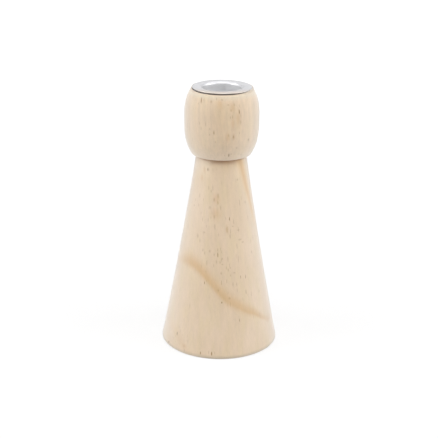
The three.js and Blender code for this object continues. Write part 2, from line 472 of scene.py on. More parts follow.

# %% [markdown]
# ## Sanded pine
#
# Bare pine, sanded and left unfinished, is mostly pale earlywood, clouded with warmer and with
# honey-coloured wood. Each year ends in a band of amber latewood that comes in slowly and stops
# sharply. Near the pith the bands are broader and paler. Fine fibres run along the stem, and resin
# canals, thin as a hair, surface as short brown dashes where the turned surface cuts them at a
# slant. They crowd towards the end of a year.
#
# A photograph mapped on would show one side only, so all of it is grown from the stem's own
# coordinates. On most of the surface the canals are stretched Voronoi cells, which the surface cuts
# just as it cuts wood. The dashes and brown streaks that catch the eye in the photograph are placed
# one by one. Their lists give the column and row where each shows, read off the picture, and `seen_at`
# carries them to the wood.
#
# Light and shade are painted into the colour in some places. The edge at the base is painted darker
# with shade. Right under the head, the neck is painted brown with shade in front and behind, and paler
# with painted light at its sides but for a thin painted crease of shade. The arris at the top is painted
# paler as a highlight, and the wood in the slit under the flange is painted dark with shade. Sheen
# stands for the fuzz of cut fibres, which makes the flanks of bare wood paler than its middle.

# %% Make the pine
EARLYWOOD_PALE = paint("dcc4a8")
EARLYWOOD_WARM = paint("d7be9f")
EARLYWOOD_HONEY = paint("d6c098")
# Painted light: a paler colour for the sides of the neck under the head.
NECK_SIDE_LIGHT = paint("e8d5bc")
# Painted highlight along the top arris.
ARRIS_HIGHLIGHT = paint("d5c8b1")
LATEWOOD_AMBER = paint("cca771")
LATEWOOD_CORE = paint("c4924e")
INNER_LATEWOOD = paint("dab679")
RESIN_BROWN = paint("8f6410")
END_GRAIN = paint("c9a77e")
# Painted shade along the base edge.
BASE_SHADE_GREY = paint("8d8676")
# Painted shade under the head.
NECK_SHADE_BROWN = paint("9a5f28")
# Painted shade in the slit under the flange and under the cup's lip.
SLIT_SHADE_BROWN = paint("5e3a12")
HEAD_HEIGHTS = heights(FOOT_TOP, -4.3, 7.7)  # from the foot's colour to the head's
# Where the painted light on the sides of the neck lies.
NECK_LIGHT_HEIGHTS = heights(FOOT_TOP, -14.3, -3.3)
# Where the painted shade under the head lies, how it comes in and how strong it is, with a thin painted
# crease of shade at the sides.
NECK_SHADE_HEIGHTS = heights(FOOT_TOP, -4.3, -0.1)
NECK_SHADE_CURVE = 1.25  # above 1, the painted shade comes in late
NECK_SHADE_STRENGTH, CREASE_SHADE_STRENGTH = 0.66, 0.45
NECK_SHADE_MIDDLE = 1.5  # mm to the right of the axis
FLANK_SQUARES = (20.0, 90.0)  # squares of the mm to each side of that middle, from front to flank
CREASE_SHADE_HEIGHTS = heights(FOOT_TOP, -2.1, -1.0)
JOINT_HEIGHTS = heights(FOOT_TOP, -0.05, 0.05)
ARRIS_HEIGHTS = heights(HEAD_TOP, -3.45, -1.05)
SLIT_HEIGHTS = heights(HEAD_TOP, -1.45, -0.65)
SLIT_INNER_EDGE, SLIT_OUTER_EDGE = (14.8, 15.6), (16.4, 16.65)  # mm from the axis
# How high the painted shade along the base edge reaches.
BASE_SHADE_HEIGHTS = (0.6, 2.8)  # mm above the table
END_FACING = (0.2, 0.95)  # squares of how far the surface faces up or down, from side to end grain
CANAL_EDGE = (0.55, 1.0)  # shares of a canal's reach
SMALLEST_CANAL = 0.4  # share of the size of the largest
SMALL_STRENGTH, FAINT_STRENGTH = 0.6, 0.36  # how dark small and faint canals are, beside dark ones
# How thickly small canals crowd, from 0 to 1, at some distances from the pith in mm.
CANAL_CROWDS = [(19.0, 0.2), (21.5, 1.0), (25.7, 0.9), (26.6, 0.15), (31.5, 0.2), (33.0, 1.0)]


def canals(stem, spacing, length, width, seed):
    """Resin canals as dark dashes: 1 inside a canal and 0 outside."""
    drift = stem.finish.node("VectorMath", {"operation": "ADD"}, {0: stem, 1: (seed, seed, seed)})
    sockets = {"Vector": stretched(drift, 1 / spacing, 1 / spacing, 1 / length), "Scale": 1.0}
    cell = stem.finish.node("TexVoronoi", {"voronoi_dimensions": "3D", "feature": "F1"}, sockets)
    chance = part_of(cell.other("Color"), "X")
    ragged = uneven(stem, across=0.25, along=0.8, seed=seed, swing=0.5)
    reach = between(chance, SMALLEST_CANAL, 1) * (width / spacing)
    return 1 - step_up(cell * ragged / reach, *CANAL_EDGE)


# Each mark has the column and row where it shows in the picture, then its length and width in mm.
DARK_CANALS = [
    (201.3, 100.4, 3.6, 0.8),
    (239.2, 111.9, 3.0, 0.7),
    (213.9, 132.9, 2.4, 0.4),
    (233.3, 136.8, 1.8, 0.3),
    (248.1, 139.8, 1.5, 0.4),
    (228.7, 155.3, 2.2, 0.8),
    (207.9, 169.5, 1.8, 0.5),
    (229.5, 219.0, 2.6, 0.5),
    (217.8, 255.0, 3.2, 0.6),
    (240.6, 277.0, 2.4, 0.4),
    (245.4, 276.6, 2.8, 0.4),
    (204.4, 283.0, 2.2, 0.5),
    (246.0, 291.8, 3.2, 0.4),
    (221.8, 302.5, 1.5, 0.7),
    (239.6, 320.5, 2.6, 0.4),
    (177.3, 333.5, 2.6, 1.0),
    (168.9, 341.8, 1.6, 1.3),
    (200.4, 353.0, 2.2, 0.6),
    (211.6, 353.7, 2.6, 0.9),
]
FAINT_CANALS = [
    (214.0, 132.6, 3.2, 1.3),
    (233.6, 137.0, 3.4, 1.4),
    (248.4, 139.8, 2.4, 1.6),
    (208.4, 169.4, 2.2, 1.6),
    (204.2, 99.6, 3.4, 0.5),
    (211.2, 101.6, 1.8, 1.4),
    (216.5, 99.0, 1.8, 0.8),
    (222.0, 99.8, 1.4, 1.0),
    (228.3, 105.0, 1.0, 1.6),
    (234.2, 104.8, 2.0, 0.9),
    (239.4, 106.0, 2.2, 0.6),
    (231.0, 110.5, 1.8, 0.9),
    (232.4, 117.0, 2.6, 0.9),
    (230.4, 117.6, 2.0, 0.7),
    (240.7, 115.5, 3.0, 0.7),
    (240.6, 122.4, 3.0, 0.9),
    (199.4, 123.0, 2.8, 0.8),
    (201.2, 128.2, 2.8, 0.7),
    (205.6, 124.0, 3.4, 0.7),
    (209.8, 129.0, 1.6, 0.7),
    (209.7, 134.8, 1.4, 0.9),
    (228.6, 135.5, 1.8, 0.8),
    (239.4, 133.0, 2.0, 0.7),
    (215.3, 142.0, 1.6, 0.8),
    (236.4, 148.0, 1.6, 1.3),
    (231.3, 154.0, 1.0, 1.1),
    (224.7, 155.6, 1.6, 0.8),
    (241.0, 154.5, 1.0, 1.1),
    (194.0, 180.0, 3.4, 0.8),
    (237.4, 179.6, 1.7, 1.2),
    (208.8, 188.0, 3.4, 0.8),
    (211.2, 191.0, 2.2, 0.7),
    (218.1, 195.8, 4.0, 1.2),
    (214.2, 199.8, 2.8, 1.3),
    (217.9, 203.0, 3.0, 1.0),
    (220.6, 208.0, 3.0, 0.9),
    (210.0, 207.5, 2.2, 0.9),
    (194.3, 205.2, 1.2, 1.6),
    (198.8, 205.0, 2.4, 0.7),
    (245.1, 202.0, 2.0, 1.4),
    (201.0, 213.0, 2.4, 0.6),
    (214.2, 217.0, 3.0, 0.8),
    (225.7, 218.3, 2.2, 0.5),
    (232.8, 226.3, 1.0, 1.4),
    (227.0, 230.0, 4.4, 0.8),
    (238.3, 230.0, 1.1, 2.0),
    (230.1, 236.3, 3.6, 1.0),
    (204.2, 232.3, 1.3, 1.8),
    (197.8, 235.8, 3.2, 1.3),
    (240.0, 239.5, 1.2, 3.0),
    (242.6, 242.0, 1.5, 1.8),
    (202.9, 250.0, 2.2, 0.8),
    (204.8, 253.0, 2.6, 0.8),
    (209.8, 251.2, 2.2, 1.4),
    (217.6, 250.0, 2.2, 0.6),
    (214.2, 254.8, 2.2, 0.8),
    (221.2, 252.0, 2.6, 0.5),
    (251.5, 251.8, 1.8, 1.3),
    (216.4, 262.0, 3.0, 0.8),
    (222.2, 258.8, 1.4, 1.2),
    (220.0, 262.4, 2.4, 0.8),
    (222.3, 264.5, 0.9, 1.4),
    (226.3, 268.0, 2.6, 0.7),
    (228.2, 270.0, 2.2, 0.9),
    (230.2, 267.8, 1.4, 0.9),
    (234.2, 272.8, 1.1, 1.5),
    (230.5, 275.4, 1.8, 0.8),
    (221.1, 273.4, 2.2, 1.0),
    (206.6, 281.0, 1.2, 0.6),
    (232.9, 284.4, 3.4, 0.8),
    (236.7, 284.6, 3.2, 0.8),
    (218.2, 290.5, 2.0, 1.0),
    (229.5, 298.2, 1.6, 1.6),
    (259.0, 291.0, 2.4, 1.0),
    (180.0, 290.0, 3.6, 0.8),
    (190.0, 306.0, 3.6, 0.6),
    (180.6, 331.0, 3.0, 0.6),
    (174.0, 338.0, 2.4, 0.6),
    (188.0, 341.0, 3.0, 0.6),
    (208.4, 352.5, 2.2, 0.6),
    (214.7, 353.0, 2.4, 0.6),
]
STREAKS = [
    (220.0, 104.0, 8.0, 4.0),
    (232.5, 108.0, 6.0, 4.0),
    (238.5, 119.0, 11.0, 3.4),
    (233.0, 124.0, 8.0, 3.0),
    (227.5, 137.0, 6.5, 3.0),
    (233.5, 137.0, 5.5, 2.4),
    (204.6, 170.0, 4.5, 2.4),
    (202.0, 177.5, 5.0, 2.4),
    (216.5, 199.0, 8.0, 5.0),
    (215.5, 214.0, 9.0, 7.0),
    (227.0, 230.0, 6.0, 2.4),
    (268.3, 320.0, 4.0, 5.0),
    (184.0, 346.0, 3.5, 3.5),
]
BROAD_STREAKS = [
    (221.0, 123.0, 22.0, 12.0),
    (235.0, 120.0, 18.0, 9.0),
    (225.0, 141.0, 14.0, 12.0),
]
MARK_DEPTH = 8.0  # mm that a mark reaches into the wood, so that sanding doesn't lose it
FACET = math.radians(10)  # marks in one facet share one turned copy of the stem


def marks(stem, places, ragged, full, gone):
    """Marks along the grain at chosen places: 1 up to a share of their reach, full, and 0 from gone on."""
    turned_stems = {}
    nearest = None
    for column, row, length, width in places:
        centre = from_pith(seen_at(column, row) / MM)
        facet = round(math.atan2(centre.x, -centre.y) / FACET)
        if facet not in turned_stems:
            turned_stems[facet] = stem.finish.node(
                "VectorRotate", {"rotation_type": "Z_AXIS"}, {"Vector": stem, "Angle": -facet * FACET}
            )
        centre.rotate(Quaternion((0, 0, 1), -facet * FACET))
        scale = Vector((2 / width, 1 / MARK_DEPTH, 2 / length))
        sockets = {0: turned_stems[facet], 1: scale, 2: -centre * scale}
        offset = stem.finish.node("VectorMath", {"operation": "MULTIPLY_ADD"}, sockets)
        apart = stem.finish.node("VectorMath", {"operation": "LENGTH"}, {0: offset}, "Value")
        if nearest:
            apart = stem.finish.node("Math", {"operation": "MINIMUM"}, {0: nearest, 1: apart})
        nearest = apart
    return 1 - step_up(nearest * ragged, full, gone)


def resin_dashes(stem, radius):
    """Every resin canal: the small ones that crowd in some years, and the ones with a place of their own."""
    stops = [(distance / YEAR_ENDS[-1], crowd) for distance, crowd in CANAL_CROWDS]
    crowded = stem.finish.node("ValToRGB", {"stops": stops}, {"Fac": radius / YEAR_ENDS[-1]})
    small = canals(stem, spacing=1.1, length=22, width=0.22, seed=11.0) * crowded * SMALL_STRENGTH
    ragged = uneven(stem, across=0.25, along=0.8, seed=4.4, swing=0.8)
    dark = marks(stem, DARK_CANALS, ragged, full=0.45, gone=1.15)
    faint = marks(stem, FAINT_CANALS, ragged, full=0.2, gone=1.2)
    return larger(small, larger(dark, faint * FAINT_STRENGTH))


def brown_streaks(colour, stem):
    """The colour with the broad brown streaks laid over it, and then the narrow ones."""
    ragged = uneven(stem, across=1.5, along=9, seed=8.8, swing=1.2)
    broad = marks(stem, BROAD_STREAKS, ragged, full=0.1, gone=1.3)
    ragged = uneven(stem, across=0.7, along=5, seed=6.6, swing=1.2)
    narrow = marks(stem, STREAKS, ragged, full=0.1, gone=1.2)
    return tinted(tinted(colour, LATEWOOD_CORE, broad, strength=0.1), LATEWOOD_CORE, narrow, strength=0.26)


def earlywood(stem, height, on_head, lit_neck_sides):
    """The pale wood, with painted light on the neck's sides and a painted highlight on the top arris."""
    warm = larger(patches(stem, across=14, along=30, seed=9.4, low=0.3, high=0.7), on_head)
    colour = blend_colours(warm, EARLYWOOD_PALE, EARLYWOOD_WARM)
    honeyed = patches(stem, across=4, along=16, seed=21.0, low=0.42, high=0.66)
    colour = tinted(colour, EARLYWOOD_HONEY, honeyed, strength=between(on_head, 0.5, 0.3))
    # Painted light on the sides of the neck.
    colour = tinted(colour, NECK_SIDE_LIGHT, step_up(height, *NECK_LIGHT_HEIGHTS) * lit_neck_sides, strength=0.7)
    # Painted highlight on the top arris.
    return tinted(colour, ARRIS_HIGHLIGHT, step_up(height, *ARRIS_HEIGHTS), strength=0.6)


def with_painted_shade(colour, place, stem, flank, on_foot):
    """Painted shade: darker at the base, brown under the head and dark in the slit under the flange."""
    height = part_of(stem, "Z")
    # Painted shade along the base edge.
    base_shade = (1 - step_up(height, *BASE_SHADE_HEIGHTS)) * uneven(stem, across=3, along=3, seed=12.5, swing=0.5)
    colour = tinted(colour, BASE_SHADE_GREY, base_shade, strength=0.35)
    # Painted shade under the head: brown in front and behind, a thin crease at the sides.
    neck_shade = step_up(height, *NECK_SHADE_HEIGHTS) ** NECK_SHADE_CURVE * (1 - flank) * NECK_SHADE_STRENGTH
    crease_shade = step_up(height, *CREASE_SHADE_HEIGHTS) * flank * CREASE_SHADE_STRENGTH
    colour = blend_colours((neck_shade + crease_shade) * on_foot, colour, NECK_SHADE_BROWN)
    # Painted shade in the slit under the flange.
    out = axis_distance(place)
    in_slit = step_up(out, *SLIT_INNER_EDGE) * (1 - step_up(out, *SLIT_OUTER_EDGE))
    return blend_colours(step_up(height, *SLIT_HEIGHTS) * in_slit, colour, SLIT_SHADE_BROWN)


def sanded_pine():
    wood = new_material("sanded_pine")
    place = in_mm(wood)
    stem = stem_place(place)
    radius = ring_radius(stem)
    height = part_of(stem, "Z")
    on_head = step_up(height, *HEAD_HEIGHTS)
    on_foot = 1 - step_up(height, *JOINT_HEIGHTS)
    aside = part_of(place, "X") - NECK_SHADE_MIDDLE
    flank = step_up(aside * aside, *FLANK_SQUARES)
    colour = earlywood(stem, height, on_head, on_foot * flank)

    latewood = latewood_shown(stem, radius)
    amber = blend_colours(step_up(radius, *INNER_TO_OUTER), INNER_LATEWOOD, LATEWOOD_AMBER)
    colour = tinted(colour, amber, latewood, strength=0.62)
    colour = tinted(colour, LATEWOOD_CORE, latewood**4, strength=0.22)
    facing = part_of(wood.node("TexCoord", output="Normal"), "Z")
    colour = tinted(colour, END_GRAIN, step_up(facing * facing, *END_FACING), strength=0.45)
    colour = brown_streaks(colour, stem)

    fibres = cloud(stem, across=0.28, along=11, seed=1.3, detail=3.0)
    streaks = cloud(stem, across=1.4, along=60, seed=5.2)
    mottled = cloud(stem, across=2.0, along=5, seed=14.0, detail=3.0)
    flecks = cloud(stem, across=0.8, along=2.0, seed=17.0)
    swings = [
        (fibres, 0.14),
        (streaks, between(on_head, 0.12, 0.26)),
        (mottled, between(on_head, 0.08, 0.18)),
        (flecks, 0.12),
    ]
    tone = between(on_head, 1, 0.99)
    for pattern, swing in swings:
        tone = tone + (pattern - 0.5) * swing
    colour = shaded(colour, tone)
    dashes = resin_dashes(stem, radius)
    colour = tinted(colour, RESIN_BROWN, dashes, strength=0.85)
    sockets = {
        "Base Color": with_painted_shade(colour, place, stem, flank, on_foot),
        "Roughness": 0.6 - latewood * 0.1 - dashes * 0.15 + (fibres - 0.5) * 0.15,
        "Sheen Weight": 1.0,
        "Sheen Roughness": 0.6,
        "Normal": bumps(fibres * 0.012 + streaks * 0.01 + latewood * 0.02 - dashes * 0.05),
    }
    return end_in_principled(wood, sockets)


pine = sanded_pine()

# %% [markdown]
# ## Turning on a lathe
#
# Both wooden pieces and the cup are round about one axis. A Screw or Spin modifier could turn an
# outline, but building the rings by hand lets every point be moved a little first: sanding leaves
# soft hollows a few hundredths of a millimetre deep, and it rounds an arris unevenly. Each point of
# an outline is a radius, a height and how much wear it takes.

# %% A lathe
SEGMENTS = 256
CIRCLE_HANDLE = 0.5523  # where a Bezier curve's handles lie for a quarter circle
SHARP_BEND = math.radians(32)


def straight(start, end, steps, wear=0.0):
    """Evenly spaced outline points from start to end, without the end itself."""
    start, end = Vector(start), Vector(end)
    return [(*start.lerp(end, step / steps), wear) for step in range(steps)]


def rounded(start, corner, end, steps=6, wear=1.0):
    """A quarter round from start to end, bulging towards the corner between them."""
    start, corner, end = Vector(start), Vector(corner), Vector(end)
    first, second = start.lerp(corner, CIRCLE_HANDLE), end.lerp(corner, CIRCLE_HANDLE)
    points = interpolate_bezier(start, first, second, end, steps + 1)
    return [(point.x, point.y, wear * math.sin(math.pi * i / steps)) for i, point in enumerate(points)][:-1]


def outline_normals(outline):
    """Which way the surface faces at each outline point, as radius and height."""
    normals = []
    for before, after in zip([outline[0], *outline[:-1]], [*outline[1:], outline[-1]]):
        run = Vector((after[0] - before[0], after[1] - before[1])).normalized()
        normals.append(Vector((run.y, -run.x)))
    return normals


def turn(name, outline, sink, material):
    """Turns an outline about the axis. sink(place, wear) says how far each point is worn down."""
    lathe = bmesh.new()
    rings = []
    for (radius, height, wear), facing in zip(outline, outline_normals(outline)):
        ring = []
        for segment in range(SEGMENTS if radius > 0 else 1):
            angle = 2 * math.pi * segment / SEGMENTS
            out = Vector((math.sin(angle), -math.cos(angle), 0))
            place = out * radius + Vector((0, 0, height))
            normal = out * facing.x + Vector((0, 0, facing.y))
            ring.append(lathe.verts.new(place - normal * sink(place, wear) if radius > 0 else place))
        rings.append(ring)
    for lower, upper in zip(rings, rings[1:]):
        for segment in range(SEGMENTS):
            following = (segment + 1) % SEGMENTS
            corners = [lower[segment % len(lower)], lower[following % len(lower)]]
            corners += [upper[following % len(upper)], upper[segment % len(upper)]]
            face = lathe.faces.new(list(dict.fromkeys(corners)))
            face.smooth = True
    for edge in lathe.edges:
        edge.smooth = edge.calc_face_angle(0) < SHARP_BEND
    mesh = bpy.data.meshes.new(name)
    lathe.to_mesh(mesh)
    lathe.free()
    mesh.materials.append(material)
    piece = bpy.data.objects.new(name, mesh)
    bpy.context.scene.collection.objects.link(piece)
    print(name, "has", len(mesh.polygons), "faces")
    return piece


# %% [markdown]
# ## How sanding wears the wood
#
# Sandpaper takes soft earlywood away faster than hard latewood, so each ring stands a little proud,
# and the hand's pressure leaves shallow hollows. On an arris it cuts deeper in some places than in
# others. These are real differences in the surface, so they move the mesh. Anything finer, such as
# the fibres, stays in the material's bump.

# %% Sanded relief
RING_RELIEF = 0.04 * MM
HAND_RELIEF = 0.07 * MM
ARRIS_WEAR = 0.16 * MM
HAND_SCALE = 16 * MM
ARRIS_SCALE = 7 * MM


def season_at(place):
    """How far through its year the wood at a place grew, from 0 to 1."""
    stem = from_pith(place / MM)
    turned = math.atan2(stem.x, -stem.y)
    swell = LOBE_HEIGHT * math.cos(LOBES * (turned - LOBE_TURN))
    swell += OVAL_HEIGHT * math.cos(2 * (turned - OVAL_TURN))
    radius = math.hypot(stem.x, stem.y) - swell
    year = bisect.bisect(YEAR_ENDS, radius)
    inner, outer = YEAR_ENDS[year - 1], YEAR_ENDS[year]
    return (radius - inner) / (outer - inner)


def sanded(place, wear):
    soft = 1 - season_at(place) ** 4
    hand = 0.5 + 0.5 * noise.noise(place / HAND_SCALE)
    arris = 0.5 + 0.5 * noise.noise(place / ARRIS_SCALE)
    return RING_RELIEF * soft + HAND_RELIEF * hand + ARRIS_WEAR * wear * arris


print("sanding takes off up to", round((RING_RELIEF + HAND_RELIEF + ARRIS_WEAR) / MM, 2), "mm")

# %% [markdown]
# ## The cone foot
#
# The foot is a tall cone whose sides are very slightly hollow, as they come off a skew chisel. It
# stands flat on the table, with its lower arris sanded round, and a drilled hole in its top takes
# the dowel. Blender's own cone has neither the hollow nor the hole. So the whole outline is turned
# in one go, from the middle of the underside up the side, across the neck and down to the drill's
# point.

# %% Turn the foot
FOOT_BASE_ROUND = 0.9 * MM
FOOT_NECK_ROUND = 0.4 * MM
DOWEL_BORE_RADIUS = 4.2 * MM
DOWEL_BORE_CHAMFER = 0.5 * MM
DOWEL_BORE_IN_FOOT = 19.5 * MM
DOWEL_BORE_IN_HEAD = 11.5 * MM
DRILL_ANGLE = 118  # degrees, the point of a twist drill
DRILL_POINT = DOWEL_BORE_RADIUS / math.tan(math.radians(DRILL_ANGLE / 2))


def dowel_bore(face, depth):
    """A drilled hole from the axis at its point out to its chamfered mouth. A negative depth goes down."""
    inwards = math.copysign(1, depth)
    chamfer_foot = (DOWEL_BORE_RADIUS, face + inwards * DOWEL_BORE_CHAMFER)
    return [
        (0, face + depth + inwards * DRILL_POINT, 0),
        *straight((DOWEL_BORE_RADIUS, face + depth), chamfer_foot, 6),
        (*chamfer_foot, 0),
        (DOWEL_BORE_RADIUS + DOWEL_BORE_CHAMFER, face, 0),
    ]


side_length = (foot_side(1) - foot_side(0)).length
side_start = FOOT_BASE_ROUND / side_length
side_end = 1 - FOOT_NECK_ROUND / side_length
underside_radius = FOOT_BASE_RADIUS - FOOT_BASE_ROUND
neck_face_radius = FOOT_NECK_RADIUS - FOOT_NECK_ROUND
SIDE_STEPS = 110
foot_outline = [
    (0, 0, 0),
    *straight((underside_radius / 8, 0), (underside_radius, 0), 10),
    *rounded((underside_radius, 0), foot_side(0), foot_side(side_start)),
    *[(*foot_side(side_start + (side_end - side_start) * i / SIDE_STEPS), 0) for i in range(SIDE_STEPS)],
    *rounded(foot_side(side_end), foot_side(1), (neck_face_radius, FOOT_TOP), steps=4),
    *straight((neck_face_radius, FOOT_TOP), (DOWEL_BORE_RADIUS + DOWEL_BORE_CHAMFER, FOOT_TOP), 4),
    *dowel_bore(FOOT_TOP, -DOWEL_BORE_IN_FOOT)[::-1],
]


def sanded_foot(place, wear):
    """The foot isn't worn where it stands, or inside its joint."""
    exposed = 0 < place.z < FOOT_TOP and math.hypot(place.x, place.y) > neck_face_radius
    return sanded(place, wear) if exposed else 0


foot = turn("turned_foot", foot_outline, sanded_foot, pine)
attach(foot, "wood")
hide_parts("cone_foot")

# %% [markdown]
# ## The barrel head
#
# The head swells like a barrel, widest a little above its middle. Its underside overhangs the
# cone's neck by under 3 mm, which casts the dark line between them, deepened by shade painted on the
# neck. The side falls away with the cube of the height from the belly, so it stays full and then
# turns in quickly at both ends.
#
# The top is dished by half a millimetre inside the rim, where the cup's flange hides it. The rim
# isn't quite level. It is lowest at the front left, where the slit under the flange opens to view,
# and everywhere else it stands a little higher and closes the view of it. A tilted plane would show
# as a flaw in the outline, so only the strip of rim beside the flange is raised and lowered.

# %% Turn the head
HEAD_BOTTOM_ROUND = 0.5 * MM
HEAD_TOP_ROUND = 0.9 * MM
TOP_FACE_CREST = 16.8 * MM
TOP_FACE_DISH = 0.5 * MM
RIM_INNER, RIM_OUTER = 16.5 * MM, 17.1 * MM  # the part of the rim beside the flange
RIM_DIP, RIM_RISE = 0.12 * MM, 0.7 * MM  # below and above the flat top
RIM_LOW_TURN = math.radians(-22)  # from the front to the rim's lowest place
CUP_BORE_RADIUS = 12.1 * MM
CUP_BORE_CHAMFER = 0.6 * MM
CUP_BORE_FLOOR = cup_box[0].z


def barrel_points(end_radius, end_height, start, end, steps=30):
    """Outline points of the barrel between two shares of the way from its belly to one end."""
    shares = [start + (end - start) * i / steps for i in range(steps + 1)]
    return [(*barrel_side(end_radius, end_height, share), 0) for share in shares]


bottom_share = 1 - HEAD_BOTTOM_ROUND / (HEAD_BELLY_HEIGHT - HEAD_BOTTOM)
top_share = 1 - HEAD_TOP_ROUND / (HEAD_TOP - HEAD_BELLY_HEIGHT)
lower_side = barrel_points(HEAD_BOTTOM_RADIUS, HEAD_BOTTOM, bottom_share, 0)
upper_side = barrel_points(HEAD_TOP_RADIUS, HEAD_TOP, 0, top_share)
underside_edge = (HEAD_BOTTOM_RADIUS - HEAD_BOTTOM_ROUND, HEAD_BOTTOM)
top_face_edge = (TOP_FACE_CREST, HEAD_TOP)
dish_edge = (TOP_FACE_CREST - 2 * TOP_FACE_DISH, HEAD_TOP - TOP_FACE_DISH)
bore_mouth_edge = (CUP_BORE_RADIUS + CUP_BORE_CHAMFER, HEAD_TOP - TOP_FACE_DISH)
head_outline = [
    *dowel_bore(HEAD_BOTTOM, DOWEL_BORE_IN_HEAD),
    *straight((DOWEL_BORE_RADIUS + DOWEL_BORE_CHAMFER * 2, HEAD_BOTTOM), underside_edge, 6),
    *rounded(underside_edge, (HEAD_BOTTOM_RADIUS, HEAD_BOTTOM), lower_side[0][:2]),
    *lower_side[:-1],
    *upper_side[:-1],
    *rounded(upper_side[-1][:2], (HEAD_TOP_RADIUS, HEAD_TOP), top_face_edge),
    *straight(top_face_edge, dish_edge, 3),
    *straight(dish_edge, bore_mouth_edge, 4),
    (*bore_mouth_edge, 0),
    *straight((CUP_BORE_RADIUS, bore_mouth_edge[1] - CUP_BORE_CHAMFER), (CUP_BORE_RADIUS, CUP_BORE_FLOOR), 8),
    *straight((CUP_BORE_RADIUS, CUP_BORE_FLOOR), (0, CUP_BORE_FLOOR), 6),
    (0, CUP_BORE_FLOOR, 0),
]


def sanded_head(place, wear):
    """The head isn't worn on its underside or in its bores. Its rim is lowest at the front left."""
    out = math.hypot(place.x, place.y)
    if place.z > HEAD_TOP - TOP_FACE_DISH / 2 and RIM_INNER < out < RIM_OUTER:
        towards_low = (place.x * math.sin(RIM_LOW_TURN) - place.y * math.cos(RIM_LOW_TURN)) / out
        return RIM_DIP - (RIM_DIP + RIM_RISE) * min(1 - towards_low, 1) ** 2
    exposed = HEAD_BOTTOM < place.z < HEAD_TOP and out > TOP_FACE_CREST
    return sanded(place, wear) if exposed else 0


head = turn("turned_head", head_outline, sanded_head, pine)
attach(head, "wood")
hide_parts("barrel_head")

# %% [markdown]
# ## Drawn aluminium
#
# The cup is pressed from thin sheet. Drawing leaves the flange with faint rings, the sleeve with
# fine upright scores, and the whole with a soft satin shine rather than a mirror. The inside stays
# bright. The flange is duller where it was handled. Shade is painted on its lip: darker and warmer
# along the front, greyer at the back, and brown underneath above the low side of the rim. A plain
# metallic shader looks like plastic under even light, so the roughness and a very shallow bump both
# follow the marks of drawing. The marks come from the distance to the axis and from the height.

# %% Make the aluminium
ALUMINIUM = paint("e9e9ea")
ALUMINIUM_DULL = paint("c2c2c5")
# Painted shade along the front of the lip, warmer and darker.
FRONT_LIP_SHADE = paint("c6bcb2")
# Painted shade at the back of the lip.
BACK_LIP_SHADE = paint("9b9a9b")
LIP_MIDDLE = cup_box[1].z / MM - 0.3  # mm above the table, half a sheet below the top
LIP_BAND_DEPTH = 1.2  # mm from the middle of the lip down to where its wear and painted shade end
FRONT_SHADE_REACH = (4.0, 14.0)  # mm in front of the axis
FAR_LIP_REACH = (8.0, 13.0)  # mm behind the axis
FAR_LIP_EDGE = (14.8, 16.0)  # mm from the axis
UNDER_LIP_EDGE = (15.5, 16.2)  # mm from the axis
UNDER_LIP_HEIGHTS = (LIP_MIDDLE - 0.1, LIP_MIDDLE + 0.1)
LOW_SIDE = (math.sin(RIM_LOW_TURN), -math.cos(RIM_LOW_TURN), 0)
LOW_SIDE_REACH = (5.0, 12.0)  # mm from the axis towards the low side of the rim
DRAWN_DEPTH = 0.0016  # mm, of the rings and the scores
HANDLED_DEPTH = 0.01  # mm


def drawn_aluminium():
    metal = new_material("drawn_aluminium")
    place = in_mm(metal)
    out, height, backwards = axis_distance(place), part_of(place, "Z"), part_of(place, "Y")
    rings = metal.node("TexNoise", {"noise_dimensions": "1D"}, {"W": out, "Scale": 5.0, "Detail": 3.0})
    scores = cloud(place, across=0.35, along=14, seed=2.0)
    handling = cloud(place, across=5, along=5, seed=6.0)
    # The band of the lip that is worn by handling and painted with shade.
    worn_and_shaded_lip = step_up(height, LIP_MIDDLE - LIP_BAND_DEPTH, LIP_MIDDLE)
    dullness = worn_and_shaded_lip * between(step_up(handling, 0.35, 0.7), 0.75, 1)
    colour = blend_colours(dullness, ALUMINIUM, ALUMINIUM_DULL)
    # Painted shade along the front of the lip.
    front_lip_shade = worn_and_shaded_lip * step_up(0 - backwards, *FRONT_SHADE_REACH)
    colour = tinted(colour, FRONT_LIP_SHADE, front_lip_shade, strength=between(handling, 0.7, 1.1))
    # Painted shade at the back of the lip.
    back_lip_shade = step_up(backwards, *FAR_LIP_REACH) * step_up(out, *FAR_LIP_EDGE)
    colour = tinted(colour, BACK_LIP_SHADE, back_lip_shade, strength=0.8)
    towards_low = metal.node("VectorMath", {"operation": "DOT_PRODUCT"}, {0: place, 1: LOW_SIDE}, "Value")
    # Painted shade under the lip, above the low side of the rim.
    under_lip = (1 - step_up(height, *UNDER_LIP_HEIGHTS)) * step_up(out, *UNDER_LIP_EDGE)
    colour = tinted(colour, SLIT_SHADE_BROWN, under_lip * step_up(towards_low, *LOW_SIDE_REACH), strength=0.65)
    sockets = {
        "Base Color": colour,
        "Metallic": 0.62,
        "Roughness": 0.3 + dullness * 0.06 + (rings - 0.5) * 0.12,
        "Normal": bumps((rings + scores) * DRAWN_DEPTH + handling * HANDLED_DEPTH),
    }
    return end_in_principled(metal, sockets)


aluminium = drawn_aluminium()

# %% [markdown]
# ## The candle cup
#
# The cup is one sheet with the same thickness everywhere: a flat flange with a rounded lip, a mouth
# that turns down into the sleeve, and a floor with a rounded corner. It stands on the floor of its
# bore, which holds the flange a third of a millimetre clear of the flat top. That slit, with shade
# painted on the wood inside it and under the lip at the low side, is the crisp dark line along the
# front. The two faces of the sheet share their arcs' centres, so the wall stays even round every bend.
# A Solidify modifier could give the sheet its thickness too, but one closed outline also gives the lip its
# rounding.

